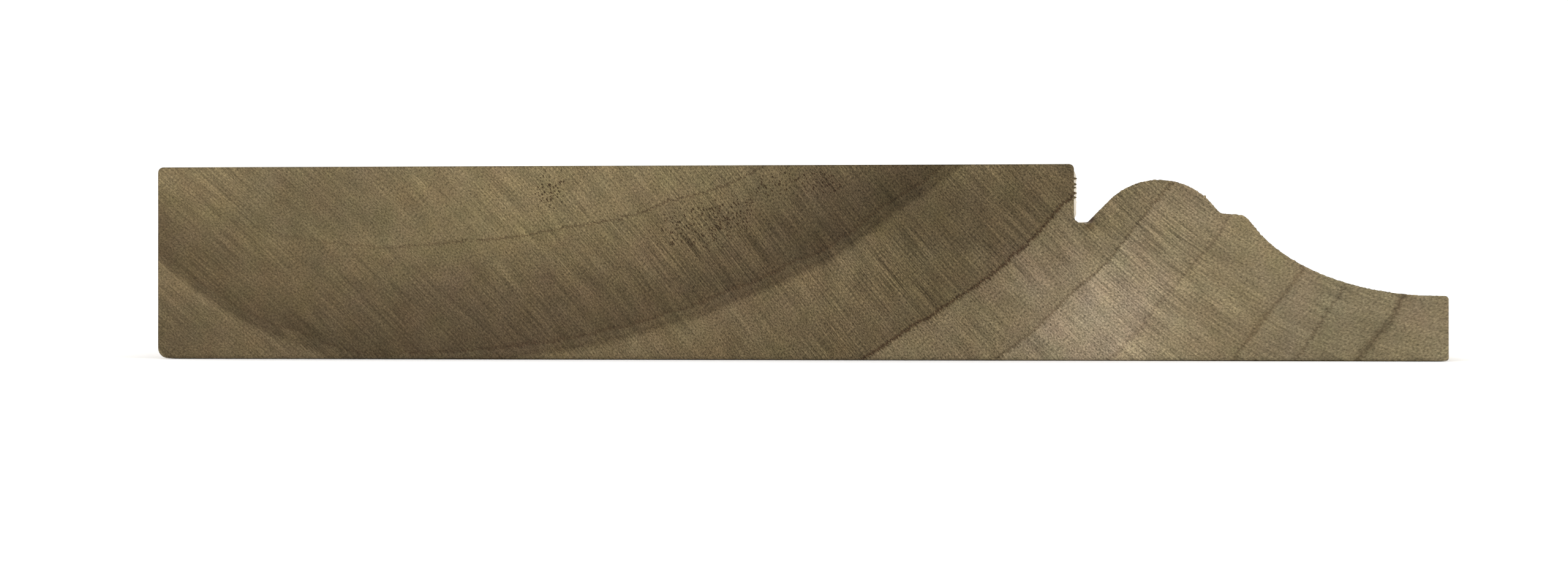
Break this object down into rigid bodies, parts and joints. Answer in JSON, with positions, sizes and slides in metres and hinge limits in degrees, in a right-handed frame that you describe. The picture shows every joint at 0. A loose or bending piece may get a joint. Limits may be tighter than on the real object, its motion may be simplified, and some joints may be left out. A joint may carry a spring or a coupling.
{
  "type": "skirting board",
  "caption": "Moulded hardwood skirting board strip with a flat plinth face, a quirked bead and a cove running down to a thin top edge, sawn square at its ends.",
  "frame": {"origin": "centre of the wall face, midway between the sawn ends, so the bottom centre of the board as it lies", "axes": "+Z out of the wall face through the thickness, +X from the thick foot edge to the thin top edge, +Y along the board"},
  "size_m": [0.12, 1, 0.018],
  "materials": {
    "tulipwood": "bare timber, planed and moulded along the grain, sawn across it at the ends"
  },
  "bodies": {
    "root": {"skirting_board": "tulipwood"}
  },
  "joints": []
}
